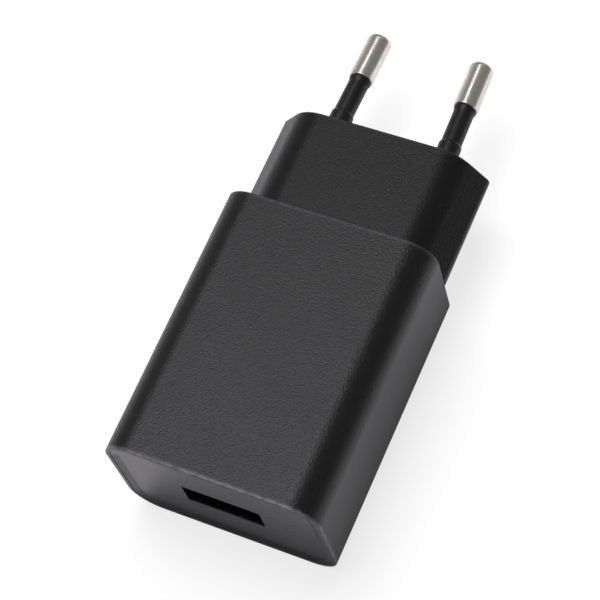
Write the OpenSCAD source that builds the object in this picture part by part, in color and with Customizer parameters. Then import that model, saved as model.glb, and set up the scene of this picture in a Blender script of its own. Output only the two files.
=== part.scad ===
// USB wall charger with a two-pin plug nose, lying on its broad face.
// X is the width, +Y runs along the pins and +Z is up.
// The origin is the middle of the underside of the box round the whole charger.

/* [Housing] */
// Width of the housing
body_w = 34.6; // [34:0.1:44]
// Height of the housing
body_h = 23; // [22:0.1:30]
// Length of the housing without the nose
body_l = 44.4; // [44:0.1:60]
// Radius of the housing's long corners
corner_r = 4.9; // [3.5:0.1:6]
// Wall of the housing
wall = 1.5; // [1.3:0.05:1.9]
// Width of the rim that frames the front panel
rim_w = 0.75; // [0.6:0.05:1.3]

/* [Front panel] */
// Thickness of the front panel
panel_t = 1.6; // [1.2:0.1:2.4]
// Depth of the panel's field behind the rim
panel_recess = 0.45; // [0.2:0.05:1]
// Width of the raised border round that field
border_w = 0.6; // [0.3:0.05:1]
// How much the slot is larger than the receptacle's mouth, on each side
slot_margin = 0.05; // [0:0.01:0.3]

/* [Nose] */
// Length of the nose
nose_l = 18.4; // [17:0.1:24]
// Width of the nose across its ridges, before they are rounded
nose_w = 35.6; // [34:0.1:44]
// Thickness of the nose
nose_t = 13.2; // [12.5:0.1:17]
// Width of the nose's flat top, before its shoulders are rounded
nose_flat = 25.6; // [24:0.1:28]
// Radius of the nose's side ridges
ridge_r = 1.5; // [0.8:0.1:2]
// Radius of the nose's shoulders
shoulder_r = 6; // [3:0.1:7]
// Wall of the hollow nose
nose_wall = 1.6; // [1.2:0.1:2]
// Thickness of the nose's end wall
face_t = 3; // [2:0.1:4]
// Thickness of the plate that closes the housing
plate_t = 2; // [1.5:0.1:3]

/* [Pins] */
// Diameter of the bare metal pins
pin_d = 4; // [3.2:0.05:4.9]
// Length of the pins in front of the nose
pin_l = 19; // [15:0.1:23]
// Distance between the pins at the nose
pin_base = 18.6; // [18:0.1:20]
// Distance between the pins at their tips
pin_tip = 17.5; // [17:0.1:18.6]
// Length of the insulating sleeves
sleeve_l = 10.9; // [8:0.1:12]
// Diameter of the insulating sleeves
sleeve_d = 3.3; // [3.1:0.05:3.8]
// Diameter of the metal core under a sleeve
core_d = 2.6; // [2.2:0.05:2.8]
// Diameter of the collar at the foot of a sleeve
collar_d = 3.7; // [3.5:0.05:4.4]
// Height of that collar
collar_h = 4.1; // [1:0.1:6]
// Radius of the pins' rounded tips
tip_r = 1.2; // [0.6:0.1:1.5]

/* [USB receptacle] */
// Width of the receptacle's mouth
usb_w = 12.5; // [10.4:0.05:15]
// Height of the receptacle's mouth
usb_h = 5.12; // [4.9:0.02:5.6]
// How far the receptacle's middle lies below the housing's mid-height
usb_drop = 0.4; // [0:0.05:0.4]
// Depth of the receptacle
usb_l = 13.2; // [12.5:0.1:16]
// Sheet thickness of the shell
shell_t = 0.3; // [0.25:0.01:0.4]
// Depth from the mouth to the tongue's tip
tongue_in = 1.9; // [1.9:0.1:2.5]
// Width of the tongue
tongue_w = 9.6; // [9.3:0.1:10]
// Thickness of the tongue
tongue_t = 1.8; // [1.7:0.02:1.9]
// Width of one contact leaf
leaf_w = 1; // [0.8:0.05:1.2]
// Free length of one contact leaf
leaf_l = 6.6; // [5.5:0.1:6.8]
// Thickness of a contact leaf
leaf_t = 0.2; // [0.15:0.01:0.24]

/* [Board] */
// Thickness of the circuit board
board_t = 1.6; // [1:0.1:2]
// Width of the board's narrow end inside the nose
board_tail_w = 22; // [20:0.1:23]
// Diameter of the component leads
lead_d = 0.6; // [0.4:0.05:0.7]

/* [Components] */
// Diameter of the mains-side capacitors
input_cap_d = 8; // [6.3:0.1:9]
// Height of the mains-side capacitors
input_cap_h = 11; // [8:0.1:11.4]
// Diameter of the output-side capacitors
output_cap_d = 6.3; // [5:0.1:6.8]
// Height of the output-side capacitors
output_cap_h = 11; // [7:0.1:11.4]
// Length of the transformer core
core_l = 16; // [14:0.1:17]
// Depth of the transformer core
core_w = 13; // [12:0.1:14]
// Thickness of the transformer core
core_h = 6; // [5:0.1:6.4]

/* [Hidden] */
$fn = 48;

// Clearances: a seat is the gap between pieces glued or welded together,
// a slide is the gap round a piece that is pushed in, and cut is overshoot.
seat = 0.05;
slide = 0.15;
cut = 1;

// Places along the charger, from the front rim to the pins' tips
total_l = body_l + nose_l + pin_l;
front_y = -total_l / 2;
rear_y = front_y + body_l;
face_y = rear_y + nose_l;
border_y = front_y + seat;
panel_y = front_y + panel_recess;
mouth_y = panel_y + panel_t;
usb_back_y = mouth_y + usb_l;
plate_y = rear_y - plate_t;
mid_z = body_h / 2;
usb_z = mid_z - usb_drop;
cavity_w = body_w - 2 * wall;
cavity_h = body_h - 2 * wall;

// The ledge that the front panel seats on, and the ribs that hold the board
ledge_w = 1.45;
ledge_t = 1;
rib_w = 0.8;
rib_h = 1;

// Nose: the slope of its sides, and its hollow
slope = atan2(nose_t / 2, (nose_w - nose_flat) / 2);
hollow_w = nose_w - 2 * nose_wall / sin(slope);
hollow_t = nose_t - 2 * nose_wall;
hollow_flat = hollow_w - hollow_t / tan(slope);

// Pins: each leans in by the same angle, and is held by a boss with a flange behind it
lean = atan2((pin_base - pin_tip) / 2, pin_l);
boss_wall = 1.4;
boss_l = 5;
flange_t = 1.2;
flange_over = 1;
stub_l = 1.75;
stub_r = 1.2;
root_l = face_t + boss_l + flange_t + stub_l;
root_y = face_y - root_l * cos(lean) - stub_r * sin(lean);
root_x = pin_base / 2 + root_l * sin(lean);

// Board: the receptacle stands on it
board_top = usb_z - usb_h / 2 - shell_t;
board_low = board_top - board_t;
board_w = cavity_w - 2 * slide;
board_front_y = mouth_y + ledge_t;
board_end_y = plate_y - slide;
tail_end_y = root_y - 0.8;
lead_end = board_low - 1.2;
lead_r = lead_d / 2;

// Receptacle: the tongue fills one half of the plug's opening
shell_w = usb_w + 2 * shell_t;
shell_h = usb_h + 2 * shell_t;
tongue_low = usb_z + 0.1;
groove_h = 0.6;
block_l = 3.6;
block_y = usb_back_y - shell_t - seat - block_l;
leaf_z = tongue_low + 0.1;
leaf_x = [-3.5, -1, 1, 3.5];
tail_gap = 0.2;
tail_y = block_y + 2;
tab_w = 0.35;
tab_l = 2.4;
tab_y = mouth_y + 7;

// Transformer: behind the receptacle, its core lying flat in the bobbin
back_wall = 2.6;
side_leg = 2.2;
mid_leg = 4;
tube_t = 0.6;
winding_t = 1.15;
tape_t = 0.12;
flange_w = 0.6;
window_w = (core_w - 2 * side_leg - mid_leg) / 2;
core_y = usb_back_y + 3.4 + core_w / 2;
winding_h = core_h / 2 + seat + tube_t + 1.5;
core_z = board_top + 0.3 + winding_h + tape_t;
tube_x = core_l / 2 - back_wall - seat;
foot_h = core_z - core_h / 2 - seat - board_top;
foot_w = core_w - 1;
row_x = core_l / 2 - back_wall / 2;

// Places of the other components on the board
input_cap_y = board_end_y - input_cap_d / 2 - 0.3;
input_cap_x = input_cap_d / 2 + 5.2;
output_cap_y = mouth_y + 7.4;
output_cap_x = shell_w / 2 + 0.6 + output_cap_d / 2;
side_x = core_l / 2 + 0.6 + 2.4;
disc_r = 3.6;
disc_t = 3.2;
choke_r = 3;
choke_h = 8;
resistor_r = 1.7;
resistor_l = 8;
lift = 0.3;
can_r = 0.7;

// Every hole in the board for a lead: the two ends of the same row of places
function row(n, pitch) = [for (i = [0:n - 1]) (i - (n - 1) / 2) * pitch];
transformer_leads = [for (x = [-row_x, row_x], y = row(4, 2.8)) [x, core_y + y]];
input_leads = [for (s = [-1, 1], x = row(2, 3.5)) [s * input_cap_x + x, input_cap_y]];
output_leads = [for (s = [-1, 1], y = row(2, 2.5)) [s * output_cap_x, output_cap_y + y]];
choke_leads = [for (y = row(2, 4)) [0, input_cap_y + y]];
disc_leads = [for (y = row(2, 5)) [side_x, core_y + y]];
resistor_leads = [for (y = row(2, resistor_l + 3)) [-side_x, core_y + y]];
tail_leads = [for (x = leaf_x) [x, tail_y]];
leads = concat(transformer_leads, input_leads, output_leads, choke_leads, disc_leads,
               resistor_leads, tail_leads);

// Carries a flat outline, drawn as X and Z, from one place along Y to another
module along_y(from_y, to_y) {
    translate([0, to_y, 0])
        rotate([90, 0, 0])
            linear_extrude(to_y - from_y)
                children();
}

// A rectangle with four round corners, centred on the charger's mid-height
module soft_rect(w, h, r) {
    translate([0, mid_z])
        union() {
            square([w - 2 * r, h], center = true);
            square([w, h - 2 * r], center = true);
            for (x = [-1, 1], z = [-1, 1])
                translate([x * (w / 2 - r), z * (h / 2 - r)])
                    circle(r);
        }
}

// The housing's outline, taken in by the same distance all round
module housing_outline(inset) {
    soft_rect(body_w - 2 * inset, body_h - 2 * inset, corner_r - inset);
}

// A hexagon with its six corners rounded, as the plug's nose has.
// Each corner is a circle that touches both of its sides.
module soft_hexagon(w, t, flat, ridge, shoulder) {
    tilt = atan2(t / 2, (w - flat) / 2);
    ridge_x = w / 2 - ridge / sin(tilt);
    shoulder_x = flat / 2 - shoulder * tan(tilt / 2);
    shoulder_z = t / 2 - shoulder;
    translate([0, mid_z])
        union() {
            polygon([for (s = [[1, 1], [-1, 1], [-1, -1], [1, -1]])
                let (touch = [[ridge_x + ridge * sin(tilt), ridge * cos(tilt)],
                              [shoulder_x + shoulder * sin(tilt), shoulder_z + shoulder * cos(tilt)],
                              [shoulder_x, t / 2]])
                    for (p = (s[0] * s[1] > 0) ? touch : [touch[2], touch[1], touch[0]])
                        [s[0] * p[0], s[1] * p[1]]]);
            for (x = [-1, 1]) {
                translate([x * ridge_x, 0])
                    circle(ridge);
                for (z = [-1, 1])
                    translate([x * shoulder_x, z * shoulder_z])
                        circle(shoulder);
            }
        }
}

// The same hexagon with sharp corners
module sharp_hexagon(w, t, flat) {
    translate([0, mid_z])
        polygon([[w / 2, 0], [flat / 2, t / 2], [-flat / 2, t / 2],
                 [-w / 2, 0], [-flat / 2, -t / 2], [flat / 2, -t / 2]]);
}

// A block given by its two corners
module block(low, high) {
    translate(low)
        cube(high - low);
}

// A round lead from a height down through the board
module lead(place, top) {
    translate([place[0], place[1], lead_end])
        cylinder(h = top - lead_end, r = lead_r);
}

// Lowers a shape from the housing's mid-height to the receptacle's
module at_usb() {
    translate([0, 0, usb_z - mid_z])
        children();
}

// Places a pin's own parts: local +Z runs along the leaning pin from the nose's face
module on_pin(side) {
    translate([side * pin_base / 2, face_y, mid_z])
        rotate([0, 0, side * lean])
            rotate([-90, 0, 0])
                children();
}

module housing_sleeve() {
    color("#2c2b30")
    union() {
        difference() {
            along_y(front_y, rear_y)
                housing_outline(0);
            along_y(front_y - cut, mouth_y)
                housing_outline(rim_w);
            along_y(mouth_y - cut, mouth_y + ledge_t + cut)
                housing_outline(rim_w + ledge_w);
            along_y(mouth_y + ledge_t, rear_y + cut)
                housing_outline(wall);
        }
        for (x = [-1, 1], z = [board_top + seat, board_low - seat - rib_h])
            translate([x * (cavity_w / 2 - rib_w / 2 + seat), (mouth_y + ledge_t + plate_y) / 2, z + rib_h / 2])
                cube([rib_w + 2 * seat, plate_y - mouth_y - ledge_t - 2 * seat, rib_h], center = true);
    }
}

module front_panel() {
    color("#3a393f")
    difference() {
        along_y(border_y, mouth_y - seat)
            housing_outline(rim_w + seat);
        along_y(front_y - cut, panel_y)
            housing_outline(rim_w + seat + border_w);
        at_usb()
            along_y(panel_y - cut, mouth_y + cut)
                soft_rect(usb_w + 2 * slot_margin, usb_h + 2 * slot_margin, 0.3);
    }
}

module plug_base() {
    color("#29282d")
    difference() {
        union() {
            along_y(plate_y, rear_y)
                housing_outline(wall + seat);
            along_y(rear_y, face_y)
                soft_hexagon(nose_w, nose_t, nose_flat, ridge_r, shoulder_r);
        }
        difference() {
            along_y(plate_y - cut, face_y - face_t)
                sharp_hexagon(hollow_w, hollow_t, hollow_flat);
            for (side = [-1, 1])
                on_pin(side)
                    translate([0, 0, -face_t - boss_l])
                        cylinder(h = boss_l + face_t / 2, r = pin_d / 2 + boss_wall);
        }
        for (side = [-1, 1])
            on_pin(side)
                translate([0, 0, -face_t - boss_l - cut])
                    cylinder(h = face_t + boss_l + 2 * cut, r = pin_d / 2 + seat / 2);
    }
}

// One turned pin: stub, flange, shank in the boss, thin core and bare end with a round tip
module pin(side) {
    neck_z = -0.3;
    color("#c9c7c4")
    on_pin(side)
        rotate_extrude()
            polygon(concat(
                [[0, -root_l],
                 [stub_r, -root_l],
                 [stub_r, -root_l + stub_l],
                 [pin_d / 2 + flange_over, -root_l + stub_l],
                 [pin_d / 2 + flange_over, -face_t - boss_l - seat],
                 [pin_d / 2, -face_t - boss_l - seat],
                 [pin_d / 2, neck_z],
                 [core_d / 2, neck_z],
                 [core_d / 2, sleeve_l],
                 [pin_d / 2, sleeve_l]],
                [for (a = [0:15:90]) [pin_d / 2 - tip_r + tip_r * cos(a), pin_l - tip_r + tip_r * sin(a)]],
                [[0, pin_l]]));
}

// One moulded sleeve: a collar at its foot and a flare that meets the bare metal
module pin_sleeve(side) {
    step = 0.25;
    flare = 0.9;
    lip_d = (sleeve_d + pin_d) / 2;
    color("#1d1c20")
    difference() {
        on_pin(side)
            rotate_extrude()
                polygon([[core_d / 2 + 0.01, -step],
                         [collar_d / 2, -step],
                         [collar_d / 2, collar_h - step],
                         [sleeve_d / 2, collar_h + step],
                         [sleeve_d / 2, sleeve_l - flare],
                         [lip_d / 2, sleeve_l - flare / 3],
                         [lip_d / 2, sleeve_l - 0.01],
                         [core_d / 2 + 0.01, sleeve_l - 0.01]]);
        block([-nose_w, face_y - 2 * cut, mid_z - collar_d], [nose_w, face_y, mid_z + collar_d]);
    }
}

// A bent strip: its foot is soldered to the board and its end presses on the pin's stub
module pin_contact(side) {
    strip_w = 3;
    strip_t = 0.4;
    foot_l = 4;
    color("#c08a4a")
    translate([side * root_x, 0, 0])
        union() {
            block([-strip_w / 2, root_y - foot_l, board_top], [strip_w / 2, root_y, board_top + strip_t]);
            block([-strip_w / 2, root_y - strip_t, board_top], [strip_w / 2, root_y, mid_z + stub_r]);
        }
}

module circuit_board() {
    hole_r = lead_r + slide;
    color("#2f6b3c")
    difference() {
        union() {
            block([-board_w / 2, board_front_y, board_low], [board_w / 2, board_end_y, board_top]);
            block([-board_tail_w / 2, board_end_y - cut, board_low], [board_tail_w / 2, tail_end_y, board_top]);
        }
        for (p = leads)
            translate([p[0], p[1], board_low - cut])
                cylinder(h = board_t + 2 * cut, r = hole_r);
        for (x = [-1, 1])
            translate([x * (shell_w / 2 - tab_w / 2), tab_y, board_low])
                cube([tab_w + 2 * slide, tab_l + 2 * slide, 3 * board_t], center = true);
    }
}

// The folded shell: a rectangular tube with a back wall, spring windows and two solder tabs
module usb_shell() {
    window_l = 4.5;
    window_w = 2.4;
    spring_w = 1.4;
    bend = 0.2;
    color("#b9bcc0")
    union() {
        difference() {
            at_usb()
                along_y(mouth_y, usb_back_y)
                    soft_rect(shell_w, shell_h, 0.6);
            at_usb()
                along_y(mouth_y - cut, usb_back_y - shell_t)
                    soft_rect(usb_w, usb_h, 0.3);
            for (x = [-1, 1], z = [-1, 1])
                translate([x * usb_w / 4, mouth_y + 5.5, usb_z + z * shell_h / 2])
                    cube([window_w, window_l, 4 * shell_t], center = true);
            block([-leaf_x[3] - leaf_w, tail_y - leaf_w, board_top - cut],
                  [leaf_x[3] + leaf_w, tail_y + leaf_w, board_top + 2 * shell_t]);
        }
        for (x = [-1, 1], z = [-1, 1])
            translate([x * usb_w / 4, mouth_y + 5.8, usb_z + z * (usb_h / 2 + shell_t / 2 - bend)])
                cube([spring_w, window_l, shell_t], center = true);
        for (x = [-1, 1])
            translate([x * (shell_w / 2 - tab_w / 2), tab_y, (board_top + lead_end) / 2 + shell_t / 2])
                cube([tab_w, tab_l, board_top - lead_end + shell_t], center = true);
    }
}

// The moulded block fills the back of the shell, and its grooved tongue carries the contacts
module usb_insulator() {
    groove_w = leaf_w + 2 * slide;
    root_h = 2 * slide + leaf_t;
    color("#26262a")
    difference() {
        union() {
            at_usb()
                along_y(block_y, usb_back_y - shell_t - seat)
                    soft_rect(usb_w - 2 * seat, usb_h - 2 * seat, 0.3);
            block([-tongue_w / 2, mouth_y + tongue_in, tongue_low],
                  [tongue_w / 2, block_y + cut, tongue_low + tongue_t]);
        }
        for (x = leaf_x) {
            block([x - groove_w / 2, block_y - leaf_l - 3 * slide, tongue_low - cut],
                  [x + groove_w / 2, block_y, tongue_low + groove_h]);
            block([x - groove_w / 2, block_y - cut, leaf_z - root_h / 2],
                  [x + groove_w / 2, tail_y + lead_r + seat, leaf_z + root_h / 2]);
            translate([x, tail_y, board_top - cut])
                cylinder(h = leaf_z - board_top + cut, r = lead_r + seat);
        }
    }
}

// One sprung leaf: it drops from its round root to a contact bow, and its tip turns up again.
// It swings about its root, at the front face of the block.
module usb_contact(i) {
    bow = 0.42;
    tip = 0.12;
    bow_y = -0.84 * leaf_l;
    color("#d8b04a")
    translate([leaf_x[i] - leaf_w / 2, block_y, leaf_z])
        rotate([90, 0, 90])
            linear_extrude(leaf_w)
                union() {
                    circle(leaf_t / 2);
                    polygon([[0, leaf_t / 2],
                             [bow_y, -bow + leaf_t / 2],
                             [-leaf_l, -tip + leaf_t / 2],
                             [-leaf_l, -tip - leaf_t / 2],
                             [bow_y, -bow - leaf_t / 2],
                             [0, -leaf_t / 2]]);
                }
}

module usb_contact_tails() {
    color("#d8b04a")
    for (x = leaf_x)
        union() {
            block([x - leaf_w / 2, block_y + tail_gap, leaf_z - leaf_t / 2],
                  [x + leaf_w / 2, tail_y + lead_r, leaf_z + leaf_t / 2]);
            lead([x, tail_y], leaf_z);
        }
}

// Two E-shaped ferrite halves, which meet at a hairline gap in the middle
module transformer_core() {
    gap = 0.1;
    color("#3d3d40")
    translate([0, core_y, core_z])
        difference() {
            cube([core_l, core_w, core_h], center = true);
            for (y = [-1, 1])
                translate([0, y * (mid_leg + window_w) / 2, 0])
                    cube([core_l - 2 * back_wall, window_w, core_h + cut], center = true);
            cube([gap, core_w + cut, core_h + cut], center = true);
        }
}

// The moulded former: a tube round the middle leg, two flanges, and two feet for the pins
module transformer_bobbin() {
    leg_y = mid_leg + 2 * seat;
    leg_z = core_h + 2 * seat;
    flange_y = mid_leg + 2 * window_w - 2 * seat;
    color("#17171a")
    translate([0, core_y, core_z])
        union() {
            difference() {
                union() {
                    cube([2 * tube_x, leg_y + 2 * tube_t, leg_z + 2 * tube_t], center = true);
                    for (x = [-1, 1])
                        translate([x * (tube_x - flange_w / 2), 0, 0])
                            cube([flange_w, flange_y, 2 * winding_h], center = true);
                }
                cube([core_l, leg_y, leg_z], center = true);
            }
            for (x = [-1, 1])
                translate([x * (tube_x - flange_w + core_l / 2) / 2, 0, -core_h / 2 - seat - foot_h / 2])
                    difference() {
                        cube([core_l / 2 - tube_x + flange_w, foot_w, foot_h], center = true);
                        for (y = row(4, 2.8))
                            translate([x * (row_x - (tube_x - flange_w + core_l / 2) / 2), y, -foot_h / 2 - cut])
                                cylinder(h = foot_h / 2 + cut, r = lead_r + seat / 2);
                    }
        }
}

// The copper: a block with round corners, wound tightly on the bobbin's tube
module winding_block(grow, length) {
    half_y = mid_leg / 2 + seat + tube_t + winding_t + grow;
    half_z = winding_h - 0.2 + grow;
    round_r = 1 + grow;
    rotate([90, 0, 90])
        translate([0, 0, -length / 2])
            linear_extrude(length)
                union() {
                    square([2 * (half_y - round_r), 2 * half_z], center = true);
                    square([2 * half_y, 2 * (half_z - round_r)], center = true);
                    for (y = [-1, 1], z = [-1, 1])
                        translate([y * (half_y - round_r), z * (half_z - round_r)])
                            circle(round_r);
                }
}

module transformer_winding() {
    inner_y = mid_leg + 2 * seat + 2 * tube_t;
    inner_z = core_h + 2 * seat + 2 * tube_t;
    color("#b5652b")
    translate([0, core_y, core_z])
        difference() {
            winding_block(0, 2 * (tube_x - flange_w - seat));
            cube([core_l, inner_y + seat, inner_z + seat], center = true);
        }
}

module transformer_tape() {
    color("#d9b93a")
    translate([0, core_y, core_z])
        difference() {
            winding_block(tape_t, 2 * (tube_x - flange_w - 2 * seat));
            winding_block(0.01, core_l);
        }
}

module transformer_pins() {
    color("#cfcfd2")
    for (p = transformer_leads)
        lead(p, board_top + foot_h / 2 - seat);
}

// A can capacitor standing on the board: a sleeve with a groove near its foot, and two leads
module can_capacitor(place, d, h, ends) {
    foot_z = board_top + lift;
    groove_r = 0.4;
    union() {
        translate([place[0], place[1], foot_z])
            difference() {
                union() {
                    cylinder(h = h - can_r, r = d / 2);
                    cylinder(h = h, r = d / 2 - can_r);
                    translate([0, 0, h - can_r])
                        rotate_extrude()
                            translate([d / 2 - can_r, 0])
                                circle(can_r);
                }
                translate([0, 0, 1.6])
                    rotate_extrude()
                        translate([d / 2 + groove_r / 2, 0])
                            circle(groove_r);
            }
        for (p = ends)
            lead(p, foot_z + lift);
    }
}

module input_capacitor(side) {
    color(side < 0 ? "#3a2f5c" : "#2d2d36")
    can_capacitor([side * input_cap_x, input_cap_y], input_cap_d, input_cap_h,
                  [for (p = input_leads) if (p[0] * side > 0) p]);
}

module output_capacitor(side) {
    color("#1f3f34")
    can_capacitor([side * output_cap_x, output_cap_y], output_cap_d, output_cap_h,
                  [for (p = output_leads) if (p[0] * side > 0) p]);
}

// A drum core: two flanges and a waist, standing on the board
module choke_core() {
    flange = 1.2;
    color("#4a4a4d")
    union() {
        translate([0, input_cap_y, board_top + lift]) {
            cylinder(h = choke_h, r = choke_r / 2);
            cylinder(h = flange, r = choke_r);
            translate([0, 0, choke_h - flange])
                cylinder(h = flange, r = choke_r);
        }
        for (p = choke_leads)
            lead(p, board_top + lift + flange / 2);
    }
}

module choke_winding() {
    flange = 1.2;
    color("#a85a24")
    translate([0, input_cap_y, board_top + lift + flange + seat])
        difference() {
            cylinder(h = choke_h - 2 * flange - 2 * seat, r = choke_r - 0.3);
            translate([0, 0, -cut])
                cylinder(h = choke_h + cut, r = choke_r / 2 + seat / 2);
        }
}

// A ceramic rod with two end caps, and leads bent down at each end
module fusible_resistor() {
    cap_l = 1.6;
    body_z = board_top + lift + resistor_r;
    color("#5f8f8a")
    union() {
        translate([-side_x, core_y, body_z])
            rotate([90, 0, 0]) {
                cylinder(h = resistor_l, r = resistor_r - 0.15, center = true);
                for (s = [-1, 1])
                    translate([0, 0, s * (resistor_l - cap_l) / 2])
                        cylinder(h = cap_l, r = resistor_r, center = true);
                cylinder(h = resistor_l + 3, r = lead_r, center = true);
            }
        for (p = resistor_leads)
            lead(p, body_z + lead_r);
    }
}

// A blue disc standing on edge beside the transformer, with round rims
module safety_capacitor() {
    disc_z = board_top + 1 + disc_r;
    edge = disc_t / 2;
    color("#2f6fb0")
    union() {
        translate([side_x, core_y, disc_z])
            rotate([0, 90, 0])
                union() {
                    cylinder(h = disc_t, r = disc_r - edge, center = true);
                    rotate_extrude()
                        translate([disc_r - edge, 0])
                            circle(edge);
                }
        for (p = disc_leads)
            lead(p, disc_z);
    }
}

// A flat package under the board, with gull-wing legs along two sides
module chip(place, size, legs, pitch) {
    leg_w = 0.4;
    leg_out = 0.8;
    leg_t = 0.2;
    gap = 0.15;
    translate([place[0], place[1], board_low])
        union() {
            block([-size[0] / 2, -size[1] / 2, -size[2] - gap], [size[0] / 2, size[1] / 2, -gap]);
            for (s = [-1, 1], y = row(legs, pitch)) {
                block([s > 0 ? size[0] / 2 - gap : -size[0] / 2 - leg_out, y - leg_w / 2, -leg_t - seat],
                      [s > 0 ? size[0] / 2 + leg_out : -size[0] / 2 + gap, y + leg_w / 2, -seat]);
            }
        }
}

module bridge_rectifier() {
    color("#202024")
    chip([-3, core_y + 4.2], [3.9, 4.7, 1.6], 2, 2.5);
}

module controller_chip() {
    color("#202024")
    chip([3, core_y + 4.2], [3.9, 4.9, 1.4], 4, 1.27);
}

module output_diode() {
    color("#202024")
    chip([0, core_y - core_w / 2 - 1.6], [4.3, 2.6, 2], 1, 1);
}

// Small parts soldered flat under the board
module chip_parts(places, size, tone) {
    color(tone)
    for (p = places)
        translate([p[0], p[1], board_low - size[2] / 2 - seat])
            cube(size, center = true);
}

module chip_resistors() {
    chip_parts([for (i = [0:5]) [-2.4 - 2.2 * (i % 2), core_y - 4 + 2 * floor(i / 2)]], [1.25, 1, 0.5], "#1b1b1e");
}

module chip_capacitors() {
    chip_parts([for (i = [0:3]) [2.4 + 2.2 * (i % 2), core_y - 4 + 2 * floor(i / 2)]], [1.25, 1, 0.9], "#a98a5f");
}

// A thin fibre sheet that stands between the receptacle and the transformer
module insulation_barrier() {
    sheet_t = 0.3;
    sheet_y = usb_back_y + 1.6;
    color("#c9b37a")
    block([-board_w / 2 + rib_w + 2 * slide, sheet_y, board_top + seat],
          [board_w / 2 - rib_w - 2 * slide, sheet_y + sheet_t, mid_z + cavity_h / 2 - wall]);
}

// A small cone of solder round each lead, under the board
module solder_joints() {
    color("#d4d4d8")
    for (p = leads)
        translate([p[0], p[1], board_low - 0.9])
            difference() {
                cylinder(h = 0.9 - seat, r1 = lead_r + 0.1, r2 = lead_r + 0.55);
                translate([0, 0, -cut])
                    cylinder(h = 3 * cut, r = lead_r + 0.01);
            }
}

housing_sleeve();
front_panel();
plug_base();
pin(-1);  // pin_left
pin(1);  // pin_right
pin_sleeve(-1);  // pin_sleeve_left
pin_sleeve(1);  // pin_sleeve_right
pin_contact(-1);  // pin_contact_left
pin_contact(1);  // pin_contact_right
circuit_board();
usb_shell();
usb_insulator();
usb_contact(0);  // usb_contact_1
usb_contact(1);  // usb_contact_2
usb_contact(2);  // usb_contact_3
usb_contact(3);  // usb_contact_4
usb_contact_tails();
transformer_core();
transformer_bobbin();
transformer_winding();
transformer_tape();
transformer_pins();
input_capacitor(-1);  // input_capacitor_left
input_capacitor(1);  // input_capacitor_right
output_capacitor(-1);  // output_capacitor_left
output_capacitor(1);  // output_capacitor_right
choke_core();
choke_winding();
fusible_resistor();
safety_capacitor();
bridge_rectifier();
controller_chip();
output_diode();
chip_resistors();
chip_capacitors();
insulation_barrier();
solder_joints();
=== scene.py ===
"""A wall charger lying on its broad face, with a USB port in one end and a two-pin plug nose
at the other. The case, the end panel, the nose, the pins and their sleeves are surfaces worked
out here; the parts inside come from the frame and get their finishes here.

Sizes inside the shape functions are in millimetres: X is the width, Y runs along the pins and Z
is up. skin() turns them into metres.
"""
import math

import bpy
import numpy as np
from mathutils import Matrix, Vector


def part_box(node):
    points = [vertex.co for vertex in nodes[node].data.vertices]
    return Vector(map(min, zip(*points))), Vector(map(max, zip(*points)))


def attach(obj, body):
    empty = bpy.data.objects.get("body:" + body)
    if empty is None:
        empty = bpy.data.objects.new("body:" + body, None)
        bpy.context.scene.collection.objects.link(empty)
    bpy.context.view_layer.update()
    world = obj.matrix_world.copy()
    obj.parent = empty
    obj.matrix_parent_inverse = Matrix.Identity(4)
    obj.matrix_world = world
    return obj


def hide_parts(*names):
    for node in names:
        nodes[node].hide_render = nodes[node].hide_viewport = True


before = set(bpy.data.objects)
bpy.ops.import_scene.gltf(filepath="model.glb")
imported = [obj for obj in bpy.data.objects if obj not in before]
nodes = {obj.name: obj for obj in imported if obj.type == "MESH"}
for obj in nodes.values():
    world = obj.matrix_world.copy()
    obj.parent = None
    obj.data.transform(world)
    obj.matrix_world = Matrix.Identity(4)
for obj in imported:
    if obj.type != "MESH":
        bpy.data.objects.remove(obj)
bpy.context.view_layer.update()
CASE_BODY = "charger"
MM = 0.001

# ---------------------------------------------------------------- sizes read from the frame


def box_mm(node):
    """The two corners of a CAD node's box, in millimetres."""
    low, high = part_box(node)
    return np.array(low) / MM, np.array(high) / MM


case_low, case_high = box_mm("housing_sleeve")
panel_high = box_mm("front_panel")[1]
plug_high = box_mm("plug_base")[1]

CASE_W = case_high[0] - case_low[0]
CASE_H = case_high[2] - case_low[2]
MID_Z = (case_low[2] + case_high[2]) / 2
FRONT_Y = case_low[1]
REAR_Y = case_high[1]
FACE_Y = plug_high[1]
MOUTH_Y = panel_high[1]

# Sizes of the moulded pieces that no box gives
CORNER_R = 4.9
CASE_WALL = 1.5
RIM_W = 0.75
FRONT_EDGE_R = 0.16
REAR_EDGE_WEAR_AND_HIGHLIGHT = 0.25
LEDGE_W = 1.45
LEDGE_T = 1.0
PLATE_T = 2.0
SEAT = 0.05
PANEL_RECESS = 0.45
PANEL_SLOPE_W = 1.2
SLOT_W = 12.6
SLOT_H = 5.22
SLOT_DROP = 0.4
NOSE_W = 35.6
NOSE_T = 13.2
NOSE_FLAT = 25.6
RIDGE_R = 1.5
SHOULDER_R = 6.0
NOSE_WALL = 1.6
FACE_T = 3.0
HOLLOW_W = 31.59
HOLLOW_FLAT = 24.01

# Pins and sleeves
PIN_R = 2.0
PIN_L = 19.0
PIN_BASE = 18.6
PIN_TIP = 17.5
SLEEVE_L = 10.9
SLEEVE_R = 1.65
CORE_R = 1.3
LIP_R = 1.825
COLLAR_R = 1.85
COLLAR_H = 4.1
ROOT_L = 10.95
STUB_R = 1.2
FLANGE_R = 3.0
FLANGE_START = -9.2
FLANGE_END = -8.05
NECK_START = -0.3
LEAN = math.atan2((PIN_BASE - PIN_TIP) / 2, PIN_L)

# ---------------------------------------------------------------- curves and surfaces


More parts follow.
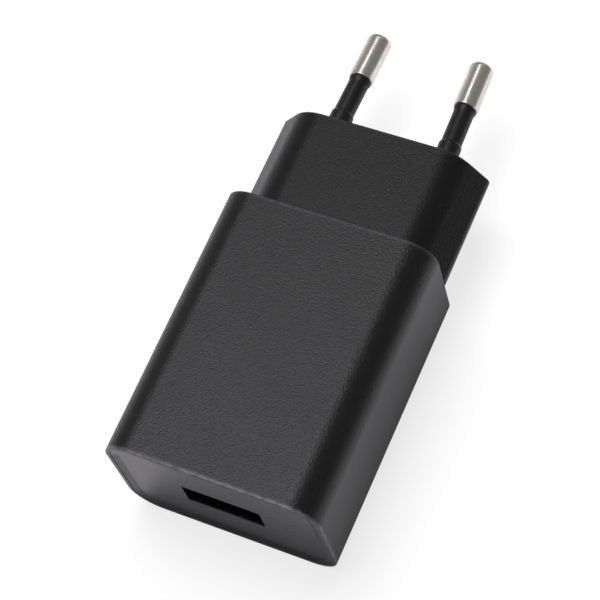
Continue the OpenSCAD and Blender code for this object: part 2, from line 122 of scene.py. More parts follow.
def rounded(corners, radii, closed=True, arc_steps=8, side_steps=12):
    """A flat outline with round corners, its outward normals, and where it bends.

    At a corner between directions d0 and d1 that turn by an angle t, the arc of radius r starts
    r tan(t / 2) before the corner, about a centre r to the inner side; its normals turn evenly
    from the first side's to the second's. A side is split at (1 - cos) / 2, so that its points
    crowd towards its ends. Outlines run anticlockwise. The bend is 1 on an outward arc, and 0 on
    an inward arc or a side.
    """
    corners = np.asarray(corners, float)
    count = len(corners)
    spread = (1 - np.cos(np.linspace(0, math.pi, side_steps + 1))) / 2
    arcs = []
    for i in range(count):
        here = corners[i]
        if not closed and i in (0, count - 1):
            ahead = corners[1] - here if i == 0 else here - corners[i - 1]
            ahead = ahead / np.linalg.norm(ahead)
            arcs.append((here[None], np.array([[ahead[1], -ahead[0]]]), np.zeros(1)))
            continue
        d0 = here - corners[i - 1]
        d1 = corners[(i + 1) % count] - here
        d0 = d0 / np.linalg.norm(d0)
        d1 = d1 / np.linalg.norm(d1)
        turn = math.atan2(d0[0] * d1[1] - d0[1] * d1[0], d0 @ d1)
        side = 1 if turn > 0 else -1
        n0 = np.array([d0[1], -d0[0]])
        centre = here - d0 * radii[i] * math.tan(abs(turn) / 2) - side * n0 * radii[i]
        angle = math.atan2(n0[1], n0[0]) + np.linspace(0, turn, arc_steps + 1)
        normal = np.stack([np.cos(angle), np.sin(angle)], 1)
        arcs.append((centre + side * radii[i] * normal, normal, np.full(arc_steps + 1, max(side, 0.0))))
    points, normals, bends = [], [], []
    for i in range(count):
        points.append(arcs[i][0])
        normals.append(arcs[i][1])
        bends.append(arcs[i][2])
        if closed or i < count - 1:
            start = arcs[i][0][-1]
            end = arcs[(i + 1) % count][0][0]
            along = (end - start) / max(np.linalg.norm(end - start), 1e-9)
            inner = spread[1:-1, None]
            points.append(start + inner * (end - start))
            normals.append(np.repeat([[along[1], -along[0]]], side_steps - 1, 0))
            bends.append(np.zeros(side_steps - 1))
    return np.concatenate(points), np.concatenate(normals), np.concatenate(bends)


def carried(outline, profile, edge_wear_and_highlight=True):
    """Rings of an outline carried along a profile.

    The outline is a set of (X, Z) points p with normals n; the profile is a set of (Y, out)
    points with normals (b, a). Each surface point is p + out n at height Y along the charger,
    and its normal is b along Y plus a along n.
    """
    p, n = outline[:2]
    q, m, bend = profile
    flat = p[None] + q[:, 1, None, None] * n[None]
    rings = np.stack([flat[..., 0], np.broadcast_to(q[:, 0, None], flat.shape[:2]), flat[..., 1]], 2)
    across = m[:, 1, None, None] * n[None]
    facing = np.stack([across[..., 0], np.broadcast_to(m[:, 0, None], flat.shape[:2]), across[..., 1]], 2)
    wear_and_highlight_mask = np.broadcast_to((bend if edge_wear_and_highlight else bend * 0)[:, None], flat.shape[:2])
    return rings, facing, wear_and_highlight_mask


def bridge(first, last, facing_y, steps=6, crown=0.0):
    """Flat rings between two rings with the same number of points: (1 - t) a + t b, where t
    runs evenly from 0 to 1, with an optional crown of 4 t (1 - t) along Y."""
    t = np.linspace(0, 1, steps + 1)[1:-1, None, None]
    rings = (1 - t) * first[None] + t * last[None]
    rings[..., 1] += facing_y * crown * (4 * t * (1 - t))[..., 0]
    facing = np.zeros_like(rings)
    facing[..., 1] = facing_y
    return rings, facing, np.zeros(rings.shape[:2])


def joined(*parts):
    """Puts several runs of rings one after the other."""
    return tuple(np.concatenate([part[k] for part in parts]) for k in range(3))


def skin(name, rings, facing, wear_and_highlight_mask, wrap, caps=None, smooth=True):
    """Makes the mesh of a grid of rings, in metres.

    Quads join each ring to the next, and round each ring. With wrap the last ring joins the
    first; otherwise caps gives the two middle points and a fan closes each end. The winding is
    turned if the enclosed volume comes out negative, so faces point outwards.
    """
    count, size = rings.shape[:2]
    points = rings.reshape(-1, 3)
    normals = facing.reshape(-1, 3)
    edge_wear_and_highlight = wear_and_highlight_mask.reshape(-1)
    rows = np.arange(count if wrap else count - 1)
    i, j = np.meshgrid(rows, np.arange(size), indexing="ij")
    i2, j2 = (i + 1) % count, (j + 1) % size
    quads = np.stack([i * size + j, i2 * size + j, i2 * size + j2, i * size + j2], 2).reshape(-1, 4)
    faces = [quads]
    if not wrap:
        middle = len(points)
        points = np.concatenate([points, np.asarray(caps, float)])
        ends = np.array([caps[0], caps[1]]) - np.array([rings[1].mean(0), rings[-2].mean(0)])
        ends = ends / np.linalg.norm(ends, axis=1)[:, None]
        normals = np.concatenate([normals, ends])
        edge_wear_and_highlight = np.concatenate([edge_wear_and_highlight, [0, 0]])
        j = np.arange(size)
        j2 = (j + 1) % size
        last = (count - 1) * size
        faces.append(np.stack([np.full(size, middle), j, j2], 1))
        faces.append(np.stack([np.full(size, middle + 1), last + j2, last + j], 1))
    fans = np.concatenate([np.concatenate([quads[:, :3], quads[:, [0, 2, 3]]])] + faces[1:])
    a, b, c = (points[fans[:, k]] for k in range(3))
    inside_out = np.einsum("ij,ij->", a, np.cross(b, c)) < 0
    face_list = [f for part in faces for f in (part[:, ::-1] if inside_out else part).tolist()]
    mesh = bpy.data.meshes.new(name)
    mesh.from_pydata((points * MM).tolist(), [], face_list)
    # The edge mask: rubbed wear, and in the grained plastics also a painted edge highlight.
    mesh.attributes.new("edge_wear_and_highlight", "FLOAT", "POINT").data.foreach_set("value", edge_wear_and_highlight.astype(np.float32))
    mesh.polygons.foreach_set("use_smooth", np.full(len(mesh.polygons), smooth))
    length = np.linalg.norm(normals, axis=1)[:, None]
    mesh.normals_split_custom_set_from_vertices((normals / np.maximum(length, 1e-9)).tolist())
    mesh.update()
    piece = bpy.data.objects.new(name, mesh)
    bpy.context.scene.collection.objects.link(piece)
    return piece


def rectangle(w, h, r, **steps):
    """A round-cornered rectangle about the charger's mid-height."""
    corners = [(w / 2, -h / 2), (w / 2, h / 2), (-w / 2, h / 2), (-w / 2, -h / 2)]
    p, n, bend = rounded(corners, [r] * 4, **steps)
    return p + [0, MID_Z], n, bend


def hexagon(w, t, flat, ridge, shoulder, **steps):
    """The plug nose's outline: a flat top and bottom, and two ridged sides."""
    corners = [(w / 2, 0), (flat / 2, t / 2), (-flat / 2, t / 2),
               (-w / 2, 0), (-flat / 2, -t / 2), (flat / 2, -t / 2)]
    p, n, bend = rounded(corners, [ridge, shoulder, shoulder] * 2, **steps)
    return p + [0, MID_Z], n, bend


# ---------------------------------------------------------------- the moulded pieces


def make_case():
    """The case is one wall carried round its outline: out and back along the length, with a
    small radius on each edge and the ledge that the end panel seats on. An edge mask marks its
    rounded edges for rubbed wear and a painted edge highlight; its rear edges get a quarter of it."""
    outline = rectangle(CASE_W, CASE_H, CORNER_R, arc_steps=20, side_steps=24)
    ledge_y = MOUTH_Y + SEAT + LEDGE_T
    wall = [(FRONT_Y, 0), (FRONT_Y, -RIM_W), (MOUTH_Y + SEAT, -RIM_W),
            (MOUTH_Y + SEAT, -RIM_W - LEDGE_W), (ledge_y, -RIM_W - LEDGE_W), (ledge_y, -CASE_WALL),
            (REAR_Y, -CASE_WALL), (REAR_Y, 0)]
    radii = [FRONT_EDGE_R, 0.06, 0.05, 0.1, 0.1, 0.05, 0.1, 0.12]
    points, normals, bend = rounded(wall, radii, arc_steps=5, side_steps=14)
    # The rear edges keep a quarter of the edge mask: less painted edge highlight and less rubbed wear.
    profile = points, normals, np.where(points[:, 0] > 0, REAR_EDGE_WEAR_AND_HIGHLIGHT, 1.0) * bend
    rings = carried(outline, profile)
    return skin("case_moulding", *rings, wrap=True)


def make_panel():
    """The end panel: from its outer edge, level with the rim, a shallow border slopes in to a
    flat field, and the field turns into the slot over a small lip. Between border and slot the
    rings are spaced evenly along straight lines."""
    steps = dict(arc_steps=14, side_steps=20)
    slot = rectangle(SLOT_W, SLOT_H, 0.35, **steps)
    slot = (slot[0] - [0, SLOT_DROP], slot[1], slot[2])
    inset = RIM_W + SEAT
    rim = rectangle(CASE_W - 2 * inset, CASE_H - 2 * inset, CORNER_R - inset, **steps)
    border_y = FRONT_Y + 0.06
    field_y = FRONT_Y + PANEL_RECESS
    lip = 0.15
    outer_path = rounded([(field_y, -1.7), (field_y, -PANEL_SLOPE_W), (border_y, 0), (MOUTH_Y, 0),
                          (MOUTH_Y, -1.7)][::-1],
                         [0, 0.1, 0.08, 1.6, 0], closed=False, arc_steps=6, side_steps=6)
    outer = carried(rim, outer_path)
    slot_path = rounded([(field_y, 0.6), (field_y, 0), (MOUTH_Y, 0), (MOUTH_Y, 0.6)],
                        [0, lip, 0.1, 0], closed=False, arc_steps=5, side_steps=6)
    inner = carried(slot, slot_path)
    face = bridge(outer[0][-1], inner[0][0], -1, steps=12)
    back = bridge(inner[0][-1], outer[0][0], 1, steps=6)
    return skin("end_panel", *joined(outer, face, inner, back), wrap=True)


def make_nose():
    """The nose: a hexagon that narrows by its draft towards a flat end with soft edges, and a
    hollow of the same shape behind the end wall."""
    steps = dict(arc_steps=14, side_steps=14)
    outline = hexagon(NOSE_W, NOSE_T, NOSE_FLAT, RIDGE_R, SHOULDER_R, **steps)
    hollow = hexagon(HOLLOW_W, NOSE_T - 2 * NOSE_WALL, HOLLOW_FLAT, 0.6, SHOULDER_R - NOSE_WALL, **steps)
    draft, edge = 0.05, 0.2
    outer_path = rounded([(REAR_Y, -0.8), (REAR_Y, 0), (FACE_Y, -draft), (FACE_Y, -1.2)][::-1],
                         [0, edge, 0.08, 0], closed=False, arc_steps=6, side_steps=16)
    outer = carried(outline, outer_path)
    inner_end = FACE_Y - FACE_T
    inner_path = rounded([(REAR_Y, 0), (inner_end, 0), (inner_end, -0.45)], [0, 0.2, 0],
                         closed=False, arc_steps=4, side_steps=8)
    inner = carried(hollow, inner_path, edge_wear_and_highlight=False)
    inner = (inner[0], -inner[1], inner[2])
    root = bridge(outer[0][-1], inner[0][0], -1, steps=3)
    middles = [(0, FACE_Y, MID_Z), (0, inner_end, MID_Z)]
    return skin("plug_nose", *joined(outer, root, inner), wrap=False, caps=middles)


def make_plate():
    """The plate that closes the case behind the nose, with the nose's hollow through it."""
    steps = dict(arc_steps=14, side_steps=14)
    inset = CASE_WALL + SEAT
    corners = [(0.5, 0), (0.5, 0.5), (-0.5, 0.5), (-0.5, 0), (-0.5, -0.5), (0.5, -0.5)]
    size = np.array([CASE_W - 2 * inset, CASE_H - 2 * inset])
    p, n, bend = rounded(np.array(corners) * size, [0.01, CORNER_R - inset, CORNER_R - inset] * 2, **steps)
    rim = (p + [0, MID_Z], n, bend)
    hollow = hexagon(HOLLOW_W - 3, NOSE_T - 2 * NOSE_WALL, HOLLOW_FLAT - 3, 0.6, 1.5, **steps)
    outer_path = rounded([(REAR_Y, -0.6), (REAR_Y, 0), (REAR_Y - PLATE_T, 0), (REAR_Y - PLATE_T, -0.6)],
                         [0, 0.15, 0.1, 0], closed=False, arc_steps=4, side_steps=6)
    outer = carried(rim, outer_path)
    inner_path = rounded([(REAR_Y - PLATE_T, 0), (REAR_Y, 0)], [0, 0], closed=False, side_steps=6)
    inner = carried(hollow, inner_path, edge_wear_and_highlight=False)
    back = bridge(outer[0][-1], inner[0][0], -1, steps=3)
    front = bridge(inner[0][-1], outer[0][0], 1, steps=3)
    return skin("closing_plate", *joined(outer, back, inner, front), wrap=True)


def turned(name, side, path, wrap=False, around=64):
    """A turned piece about one leaning pin axis: (s, r) points of a path, where s runs from the
    nose's face along the pin. Each point goes round a circle of radius r, and the whole leans
    in by the pins' small angle about the upright axis through the pin's foot."""
    q, m, bend = path
    angle = np.linspace(0, 2 * math.pi, around, endpoint=False)
    circle = np.stack([np.cos(angle), np.sin(angle)], 1)
    rings, facing, wear_and_highlight_mask = carried((circle * 0, circle), path)
    c, s = math.cos(side * LEAN), math.sin(side * LEAN)
    lean = np.array([[c, -s, 0], [s, c, 0], [0, 0, 1]])
    foot = np.array([side * PIN_BASE / 2, FACE_Y, MID_Z])
    rings = rings @ lean.T + foot
    facing = facing @ lean.T
    caps = None
    if not wrap:
        ends = np.array([[0, q[0, 0], 0], [0, q[-1, 0], 0]])
        caps = ends @ lean.T + foot
    return skin(name, rings, facing, wear_and_highlight_mask, wrap=wrap, caps=caps)


def make_pin(name, side):
    """A pin: stub, flange, shank, thin core under the sleeve, and a bare end with a round tip."""
    small = 0.02
    path = [(-ROOT_L, small), (-ROOT_L, STUB_R), (FLANGE_START, STUB_R), (FLANGE_START, FLANGE_R),
            (FLANGE_END, FLANGE_R), (FLANGE_END, PIN_R), (NECK_START, PIN_R), (NECK_START, CORE_R),
            (SLEEVE_L, CORE_R), (SLEEVE_L, PIN_R), (PIN_L, PIN_R), (PIN_L, small)]
    radii = [0, 0.3, 0.1, 0.2, 0.2, 0.1, 0.1, 0.1, 0.05, 0.22, 0.85, 0]
    loop = rounded(path[::-1], radii[::-1], closed=False, arc_steps=10, side_steps=8)
    return turned(name, side, loop)


def make_pin_sleeve(name, side):
    """A pin's sleeve: a collar with a sloping shoulder, a slim neck, and a flare at its end."""
    bore = CORE_R + 0.01
    path = [(-0.05, bore), (-0.05, COLLAR_R), (COLLAR_H - 0.1, COLLAR_R), (COLLAR_H + 0.25, SLEEVE_R),
            (SLEEVE_L - 0.9, SLEEVE_R), (SLEEVE_L - 0.3, LIP_R), (SLEEVE_L, LIP_R),
            (SLEEVE_L, bore)]
    radii = [0.02, 0.02, 0.12, 0.12, 0.6, 0.2, 0.08, 0.02]
    loop = rounded(path[::-1], radii[::-1], arc_steps=6, side_steps=6)
    return turned(name, side, loop, wrap=True)


# ---------------------------------------------------------------- finishes


class Finish:
    """A material under construction: nodes are added by kind and joined by name."""

    def __init__(self, name, base, roughness, metallic=0.0, specular=0.5, coat=0.0):
        self.material = bpy.data.materials.new(name)
        self.material.use_nodes = True
        self.tree = self.material.node_tree
        self.shader = self.tree.nodes["Principled BSDF"]
        self.shader.inputs["Base Color"].default_value = (*base, 1)
        self.shader.inputs["Roughness"].default_value = roughness
        self.shader.inputs["Metallic"].default_value = metallic
        self.shader.inputs["Specular IOR Level"].default_value = specular
        self.shader.inputs["Coat Weight"].default_value = coat
        place = self.add("ShaderNodeTexCoord")
        self.object_place = place.outputs["Object"]

    def add(self, kind, **values):
        node = self.tree.nodes.new(kind)
        for key, value in values.items():
            if key in node.inputs:
                node.inputs[key].default_value = value
            else:
                setattr(node, key, value)
        return node

    def link(self, out, into):
        self.tree.links.new(out, into)
        return into

    def place(self, stretch=(1, 1, 1)):
        """Coordinates in millimetres, stretched along each axis."""
        node = self.add("ShaderNodeMapping")
        node.inputs["Scale"].default_value = tuple(1 / MM * k for k in stretch)
        self.link(self.object_place, node.inputs["Vector"])
        return node.outputs["Vector"]

    def noise(self, scale, detail=2.0, rough=0.5, stretch=(1, 1, 1)):
        node = self.add("ShaderNodeTexNoise", Scale=scale, Detail=detail, Roughness=rough)
        self.link(self.place(stretch), node.inputs["Vector"])
        return node.outputs["Fac"]

    def cells(self, scale, feature="F1", stretch=(1, 1, 1)):
        node = self.add("ShaderNodeTexVoronoi", Scale=scale)
        node.feature = feature
        self.link(self.place(stretch), node.inputs["Vector"])
        return node.outputs["Distance"]

    def spread(self, value, low, high, to_low=0.0, to_high=1.0):
        node = self.add("ShaderNodeMapRange")
        for key, number in (("From Min", low), ("From Max", high), ("To Min", to_low), ("To Max", to_high)):
            node.inputs[key].default_value = number
        self.link(value, node.inputs["Value"])
        return node.outputs["Result"]

    def blend_colour(self, amount, first, second):
        """Mixes two colours, each a constant triple or another node's output."""
        node = self.add("ShaderNodeMix", data_type="RGBA")
        self.link(amount, node.inputs[0])
        for socket, colour in ((node.inputs[6], first), (node.inputs[7], second)):
            if isinstance(colour, tuple):
                socket.default_value = (*colour, 1)
            else:
                self.link(colour, socket)
        return node.outputs[2]

    def maths(self, operation, first, second):
        node = self.add("ShaderNodeMath", operation=operation)
        for socket, value in zip(node.inputs, (first, second)):
            if isinstance(value, (int, float)):
                socket.default_value = value
            else:
                self.link(value, socket)
        return node.outputs[0]

    # Reads the edge mask, which carries rubbed wear and, in the grained plastics, a painted edge highlight.
    def edge_wear_and_highlight(self):
        return self.add("ShaderNodeAttribute", attribute_name="edge_wear_and_highlight").outputs["Fac"]

    def bump(self, height, strength, depth_mm, below=None):
        node = self.add("ShaderNodeBump", Strength=strength, Distance=depth_mm * MM)
        self.link(height, node.inputs["Height"])
        if below is not None:
            self.link(below, node.inputs["Normal"])
        self.link(node.outputs["Normal"], self.shader.inputs["Normal"])
        return node.outputs["Normal"]

    def colour(self, value):
        self.link(value, self.shader.inputs["Base Color"])

    def rough(self, value):
        self.link(value, self.shader.inputs["Roughness"])


def grained_plastic(name, dark, light, rough_low, rough_high, grain, depth, highlight_and_rub_lift, specular):
    """Moulded black plastic from a spark-eroded tool: fine grains and pits in the surface, faint
    cloudy changes of tone, scattered pale specks, and edges rubbed a little smoother. On the
    edges the colour is also lifted towards a pale tone: a painted edge highlight, mottled like wear."""
    f = Finish(name, dark, rough_high, specular=specular)
    fine = f.noise(grain, detail=3.0, rough=0.62)
    pits = f.cells(grain * 0.62)
    cloud = f.noise(0.09, detail=3.0, rough=0.6)
    highlight_and_rub_mottle = f.noise(1.1, detail=4.0, rough=0.7)
    specks = f.cells(0.62)
    tone = f.blend_colour(f.spread(fine, 0.38, 0.68), dark, light)
    tone = f.blend_colour(f.spread(cloud, 0.35, 0.75, 0.0, 0.25), tone, light)
    # Painted edge highlight: the edge mask, mottled like rubbed wear, lifts the colour towards a pale tone
    # and also makes the edges a little smoother.
    wear_and_highlight_mask = f.maths("MULTIPLY", f.edge_wear_and_highlight(), f.spread(highlight_and_rub_mottle, 0.36, 0.62, 0.25, 1.0))
    tone = f.blend_colour(f.maths("MULTIPLY", wear_and_highlight_mask, 0.8), tone, tuple(highlight_and_rub_lift * k for k in light))
    tone = f.blend_colour(f.spread(specks, 0.012, 0.055, 0.55, 0.0), tone, (0.16, 0.155, 0.15))
    f.colour(tone)
    matt = f.spread(fine, 0.3, 0.7, rough_low, rough_high)
    surface = f.maths("ADD", matt, f.spread(cloud, 0.3, 0.7, -0.02, 0.03))
    f.rough(f.maths("SUBTRACT", surface, f.maths("MULTIPLY", wear_and_highlight_mask, 0.08)))
    height = f.maths("ADD", fine, f.maths("MULTIPLY", f.spread(pits, 0.0, 0.6), 0.6))
    f.bump(height, depth, 0.05)
    return f.material


def smooth_plastic(name, dark, light, roughness, coat=0.0):
    """Smooth black plastic: faint flow lines, fine handling marks, and a very slight ripple."""
    f = Finish(name, dark, roughness, coat=coat)
    flow = f.noise(0.35, detail=4.0, rough=0.6, stretch=(1, 0.25, 1))
    marks = f.noise(5.5, detail=5.0, rough=0.7, stretch=(1, 0.12, 1))
    ripple = f.noise(1.6, detail=2.0)
    f.colour(f.blend_colour(f.spread(flow, 0.35, 0.7), dark, light))
    wear_and_highlight_mask = f.maths("MULTIPLY", f.edge_wear_and_highlight(), -0.05)
    f.rough(f.maths("ADD", f.spread(marks, 0.35, 0.7, roughness - 0.04, roughness + 0.07), wear_and_highlight_mask))
    first = f.bump(ripple, 0.12, 0.03)
    f.bump(marks, 0.1, 0.008, below=first)
    return f.material


def plated_pin(name):
    """Satin nickel over brass: lengthwise draw lines, fine turned rings, and faint dulling."""
    f = Finish(name, (0.88, 0.85, 0.80), 0.28, metallic=1.0)
    drawn = f.noise(9.0, detail=4.0, rough=0.65, stretch=(1, 0.03, 1))
    rings = f.noise(14.0, detail=2.0, stretch=(0.05, 1, 0.05))
    dull = f.noise(0.7, detail=4.0, rough=0.65)
    tone = f.blend_colour(f.spread(dull, 0.35, 0.7), (0.95, 0.90, 0.83), (0.82, 0.76, 0.69))
    f.colour(f.blend_colour(f.spread(drawn, 0.35, 0.65, 0.0, 0.35), tone, (0.96, 0.94, 0.90)))
    f.rough(f.maths("ADD", f.spread(drawn, 0.3, 0.7, 0.22, 0.3), f.spread(dull, 0.4, 0.7, 0.0, 0.06)))
    first = f.bump(drawn, 0.03, 0.002)
    f.bump(rings, 0.03, 0.001, below=first)
    return f.material


def sheet_metal(name, base, roughness):
    """Folded and tinned sheet: rolling lines along the strip and a faintly mottled plate."""
    f = Finish(name, base, roughness, metallic=1.0)
    rolled = f.noise(7.0, detail=4.0, rough=0.6, stretch=(1, 0.05, 1))
    mottle = f.noise(1.4, detail=3.0)
    f.colour(f.blend_colour(f.spread(mottle, 0.35, 0.7), base, tuple(0.8 * k for k in base)))
    f.rough(f.spread(rolled, 0.3, 0.7, roughness - 0.06, roughness + 0.1))
    f.bump(rolled, 0.15, 0.01)
    return f.material


def wound_wire(name, base):
    """Enamelled copper turns: fine ridges along the winding's axis over a warm varnish."""
    f = Finish(name, base, 0.3, metallic=0.85, coat=0.4)
    ridges = f.add("ShaderNodeTexWave", Scale=1.6, Distortion=0.3, Detail=2.0)
    ridges.bands_direction = "X"
    f.link(f.place(), ridges.inputs["Vector"])
    mottle = f.noise(0.8, detail=3.0)
    f.colour(f.blend_colour(f.spread(mottle, 0.35, 0.7), base, tuple(0.6 * k for k in base)))
    f.bump(ridges.outputs["Fac"], 0.6, 0.08)
    return f.material


def speckled(name, base, other, roughness, scale=4.0, depth=0.2, metallic=0.0, coat=0.0):
    """A hard inner part: two close tones in fine speckle with a light tooth."""
    f = Finish(name, base, roughness, metallic=metallic, coat=coat)
    grain = f.noise(scale, detail=4.0, rough=0.65)
    broad = f.noise(scale * 0.12, detail=2.0)
    tone = f.blend_colour(f.spread(grain, 0.35, 0.65), base, other)
    f.colour(f.blend_colour(f.spread(broad, 0.4, 0.7, 0.0, 0.4), tone, other))
    f.rough(f.spread(grain, 0.3, 0.7, roughness - 0.05, roughness + 0.08))
    f.bump(grain, depth, 0.02)
    return f.material


def board_mask(name):
    """Green solder mask over faint copper tracks, with a woven glass tooth under the gloss."""
    f = Finish(name, (0.02, 0.11, 0.045), 0.28, coat=0.3)
    tracks = f.add("ShaderNodeTexBrick", Scale=0.22)
    tracks.inputs["Mortar Size"].default_value = 0.03
    f.link(f.place(), tracks.inputs["Vector"])
    weave = f.cells(1.8)
    f.colour(f.blend_colour(tracks.outputs["Fac"], (0.018, 0.10, 0.04), (0.04, 0.17, 0.06)))
    f.bump(tracks.outputs["Fac"], 0.3, 0.03, below=f.bump(weave, 0.1, 0.01))
    return f.material


# The case's edges are lifted to 26 times its light tone as a painted edge highlight, and the nose's to 5
# times.
case_finish = grained_plastic("case_grained_plastic", (0.0045, 0.0044, 0.0048), (0.0075, 0.0073, 0.008),
                              0.27, 0.37, 4.6, 0.8, 26, 0.5)
nose_finish = grained_plastic("nose_grained_plastic", (0.0042, 0.0041, 0.0045), (0.007, 0.0068, 0.0074),
                              0.28, 0.38, 4.8, 0.6, 5, 0.38)
panel_finish = smooth_plastic("panel_satin_plastic", (0.006, 0.0058, 0.0063), (0.0085, 0.0083, 0.009), 0.24)
sleeve_finish = smooth_plastic("pin_sleeve_plastic", (0.0045, 0.0044, 0.0048), (0.009, 0.0088, 0.0095), 0.40)
pin_finish = plated_pin("pin_satin_nickel")
tinned = sheet_metal("tinned_sheet", (0.42, 0.43, 0.45), 0.32)
gilt = sheet_metal("gold_flashed_spring", (0.83, 0.58, 0.22), 0.24)
bronze = sheet_metal("phosphor_bronze_strip", (0.66, 0.40, 0.20), 0.28)
solder = speckled("bright_solder", (0.62, 0.62, 0.64), (0.5, 0.5, 0.53), 0.2, metallic=1.0)
block_black = speckled("contact_block_plastic", (0.012, 0.012, 0.0125), (0.02, 0.02, 0.021), 0.42)
ferrite = speckled("sintered_ferrite", (0.045, 0.045, 0.048), (0.075, 0.075, 0.078), 0.5,
                   scale=6.0, depth=0.4)
former = speckled("former_plastic", (0.014, 0.014, 0.015), (0.022, 0.022, 0.024), 0.4)
copper = wound_wire("enamelled_copper", (0.55, 0.20, 0.07))
film = speckled("yellow_film_tape", (0.62, 0.42, 0.05), (0.55, 0.36, 0.04), 0.22,
                scale=1.5, depth=0.08, coat=0.3)
mask = board_mask("board_solder_mask")
can_violet = speckled("violet_can_sleeve", (0.06, 0.035, 0.12), (0.075, 0.045, 0.15), 0.25,
                      scale=1.2, depth=0.08)
can_green = speckled("green_can_sleeve", (0.018, 0.07, 0.045), (0.024, 0.09, 0.06), 0.25,
                     scale=1.2, depth=0.08)
lacquer = speckled("resistor_lacquer", (0.12, 0.25, 0.22), (0.16, 0.31, 0.28), 0.3, scale=2.5)
disc_blue = speckled("disc_lacquer", (0.02, 0.14, 0.42), (0.03, 0.18, 0.5), 0.22,
                     scale=1.6, depth=0.12, coat=0.3)
package = speckled("package_epoxy", (0.015, 0.015, 0.016), (0.026, 0.026, 0.028), 0.45, scale=7.0)
ceramic = speckled("chip_ceramic", (0.30, 0.20, 0.11), (0.36, 0.25, 0.14), 0.35, scale=7.0)
fibre = speckled("fibre_sheet", (0.42, 0.33, 0.16), (0.5, 0.4, 0.22), 0.6, scale=3.0, depth=0.4)

INNER_FINISHES = {
    "usb_shell": tinned, "usb_insulator": block_black, "usb_contact_1": gilt, "usb_contact_2": gilt,
    "usb_contact_3": gilt, "usb_contact_4": gilt, "usb_contact_tails": gilt,
    "pin_contact_left": bronze, "pin_contact_right": bronze, "circuit_board": mask,
    "transformer_core": ferrite, "transformer_bobbin": former, "transformer_winding": copper,
    "transformer_tape": film, "transformer_pins": solder, "input_capacitor_left": can_violet,
    "input_capacitor_right": can_violet, "output_capacitor_left": can_green,
    "output_capacitor_right": can_green, "choke_core": ferrite, "choke_winding": copper,
    "fusible_resistor": lacquer, "safety_capacitor": disc_blue, "bridge_rectifier": package,
    "controller_chip": package, "output_diode": package, "chip_resistors": package,
    "chip_capacitors": ceramic, "insulation_barrier": fibre, "solder_joints": solder,
}


def dress(piece, finish):
    """Puts one finish on every slot of a piece."""
    piece.data.materials.clear()
    piece.data.materials.append(finish)


for node_name, finish in INNER_FINISHES.items():
    dress(nodes[node_name], finish)


def fit_piece(piece, finish, slot, *replaced):
    """Finishes a new piece, lets it ride on the case, and hides the nodes it stands for."""
    dress(piece, finish)
    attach(piece, CASE_BODY)
    if replaced:
        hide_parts(*replaced)


fit_piece(make_case(), case_finish, "housing_plastic", "housing_sleeve")
fit_piece(make_panel(), panel_finish, "panel_plastic", "front_panel")
fit_piece(make_nose(), nose_finish, "nose_plastic", "plug_base")
fit_piece(make_plate(), nose_finish, "nose_plastic")
for side, word in ((-1, "left"), (1, "right")):
    fit_piece(make_pin("turned_pin_" + word, side), pin_finish, "pin_metal", "pin_" + word)
    sleeve = make_pin_sleeve("moulded_sleeve_" + word, side)
    fit_piece(sleeve, sleeve_finish, "sleeve_plastic", "pin_sleeve_" + word)

# ---------------------------------------------------------------- floor, light and camera


def pale_finish(name, tone, glow):
    """A matt pale sheet with a trace of mottle, lit a little from below where glow is not 0."""
    f = Finish(name, tone, 0.9, specular=0.1)
    f.colour(f.blend_colour(f.noise(0.02, detail=2.0), tone, tuple(0.985 * k for k in tone)))
    f.shader.inputs["Emission Color"].default_value = (1, 1, 1, 1)
    f.shader.inputs["Emission Strength"].default_value = glow
    return f.material


def stage_sheet(name, profile, finish, around=96):
    """A round sheet turned about the upright axis from (radius, height) points, in metres: each
    point r, h becomes the circle (r cos a, r sin a, h). The first point is the middle."""
    r, h = np.array(profile[1:]).T[:, :, None]
    angle = np.linspace(0, 2 * math.pi, around, endpoint=False)[None]
    rings = np.stack([r * np.cos(angle), r * np.sin(angle), h + 0 * angle], 2).reshape(-1, 3)
    points = np.concatenate([[[0, 0, profile[0][1]]], rings])
    j = np.arange(around)
    j2 = (j + 1) % around
    faces = np.stack([0 * j, 1 + j, 1 + j2], 1).tolist()
    for k in range(len(profile) - 2):
        low, high = 1 + k * around, 1 + (k + 1) * around
        faces += np.stack([low + j, high + j, high + j2, low + j2], 1).tolist()
    mesh = bpy.data.meshes.new(name)
    mesh.from_pydata(points.tolist(), [], faces)
    mesh.polygons.foreach_set("use_smooth", np.ones(len(faces), bool))
    piece = bpy.data.objects.new(name, mesh)
    piece.data.materials.append(finish)
    bpy.context.scene.collection.objects.link(piece)
    return piece


# The floor that lights the charger from below, and the backlit table under it that shows, so
# that the charger lies on white with only a faint shadow
UNDER = 0.0002
FLOOR_R = 0.14
TABLE_GLOW = 0.76
AMBIENT = 0.18
TABLE_R = 1.5
WALL_R = 3.0
WALL_TOP = 3.0
COVE_R = WALL_R - TABLE_R
cove = [(TABLE_R + COVE_R * math.sin(t), COVE_R * (1 - math.cos(t)))
        for t in np.linspace(0, math.pi / 2, 9)]
floor = stage_sheet("floor_sheet", [(0, -UNDER), (0.08, -UNDER), (FLOOR_R, -UNDER)],
                    pale_finish("pale_floor", (0.9, 0.885, 0.905), 0.0))
floor.visible_camera = False
table = stage_sheet("light_table", [(0, 0), (0.2, 0)] + cove + [(WALL_R, WALL_TOP)],
                    pale_finish("pale_table", (0.3, 0.3, 0.3), TABLE_GLOW))
table.visible_diffuse = table.visible_glossy = table.visible_transmission = table.visible_shadow = False

world = bpy.data.worlds.new("studio")
world.use_nodes = True
world.node_tree.nodes["Background"].inputs["Color"].default_value = (1, 1, 1, 1)
world.node_tree.nodes["Background"].inputs["Strength"].default_value = AMBIENT
bpy.context.scene.world = world
bpy.context.scene.view_settings.view_transform = "Standard"


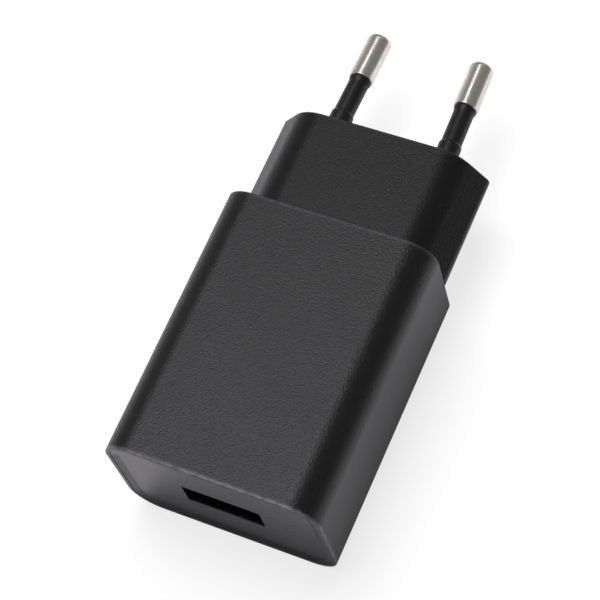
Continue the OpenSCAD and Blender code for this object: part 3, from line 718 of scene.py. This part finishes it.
def aim(name, lamp, towards, distance):
    """Hangs a lamp in a direction from the charger's middle, facing it."""
    holder = bpy.data.objects.new(name, lamp)
    direction = Vector(towards).normalized()
    holder.location = Vector((0, 0, MID_Z * MM)) + direction * distance
    holder.rotation_mode = "QUATERNION"
    holder.rotation_quaternion = direction.to_track_quat("Z", "Y")
    holder.visible_camera = False
    bpy.context.scene.collection.objects.link(holder)
    return holder


def soft_box(name, towards, distance, width, height, glow, colour=(1, 1, 1)):
    """A rectangular lamp. Its power gives its face the brightness glow: glow pi width height."""
    lamp = bpy.data.lights.new(name, "AREA")
    lamp.shape = "RECTANGLE"
    lamp.size, lamp.size_y = width, height
    lamp.energy = glow * math.pi * width * height
    lamp.color = colour
    return aim(name, lamp, towards, distance)


def sky_lamp(name, towards, strength, spread):
    """A distant lamp as wide as spread, in degrees, that lights matt surfaces only."""
    lamp = bpy.data.lights.new(name, "SUN")
    lamp.energy = strength
    lamp.angle = math.radians(spread)
    holder = aim(name, lamp, towards, 1.0)
    holder.visible_glossy = False
    return holder


soft_box("overhead_box", (-0.24, 0.05, 0.96), 0.6, 0.34, 0.36, 2.95, (1, 0.975, 1.02))
soft_box("left_wall", (-0.9, 0.42, 0.16), 0.6, 0.6, 0.3, 0.22)
soft_box("rear_box", (0.1, 0.85, 0.5), 0.8, 0.5, 0.2, 0.5)
soft_box("pin_box", (-0.23, 0.51, 0.835), 0.6, 0.09, 0.1, 3.0)
sky_lamp("key", (-0.2, 0.34, 0.92), 1.55, 42)


def set_camera(azimuth, elevation, roll, lens, distance, target):
    """Places the camera on a line through the target, at the given angles in degrees. The roll
    turns the picture about that line."""
    a, e, r = (math.radians(k) for k in (azimuth, elevation, roll))
    back = Vector((math.cos(e) * math.sin(a), -math.cos(e) * math.cos(a), math.sin(e)))
    level = Vector((math.cos(a), math.sin(a), 0))
    upright = back.cross(level)
    right = level * math.cos(r) - upright * math.sin(r)
    up = upright * math.cos(r) + level * math.sin(r)
    camera = bpy.data.cameras.new("camera")
    camera.lens = lens
    camera.sensor_width = 36
    camera.clip_start, camera.clip_end = 0.01, 20
    holder = bpy.data.objects.new("camera", camera)
    place = Matrix((right, up, back)).transposed().to_4x4()
    place.translation = Vector(target) + back * distance
    holder.matrix_world = place
    bpy.context.scene.collection.objects.link(holder)
    bpy.context.scene.camera = holder


set_camera(azimuth=43.3, elevation=61.77, roll=21.95, lens=128.8, distance=0.3255,
           target=(-0.00258, -0.00609, 0.0115))
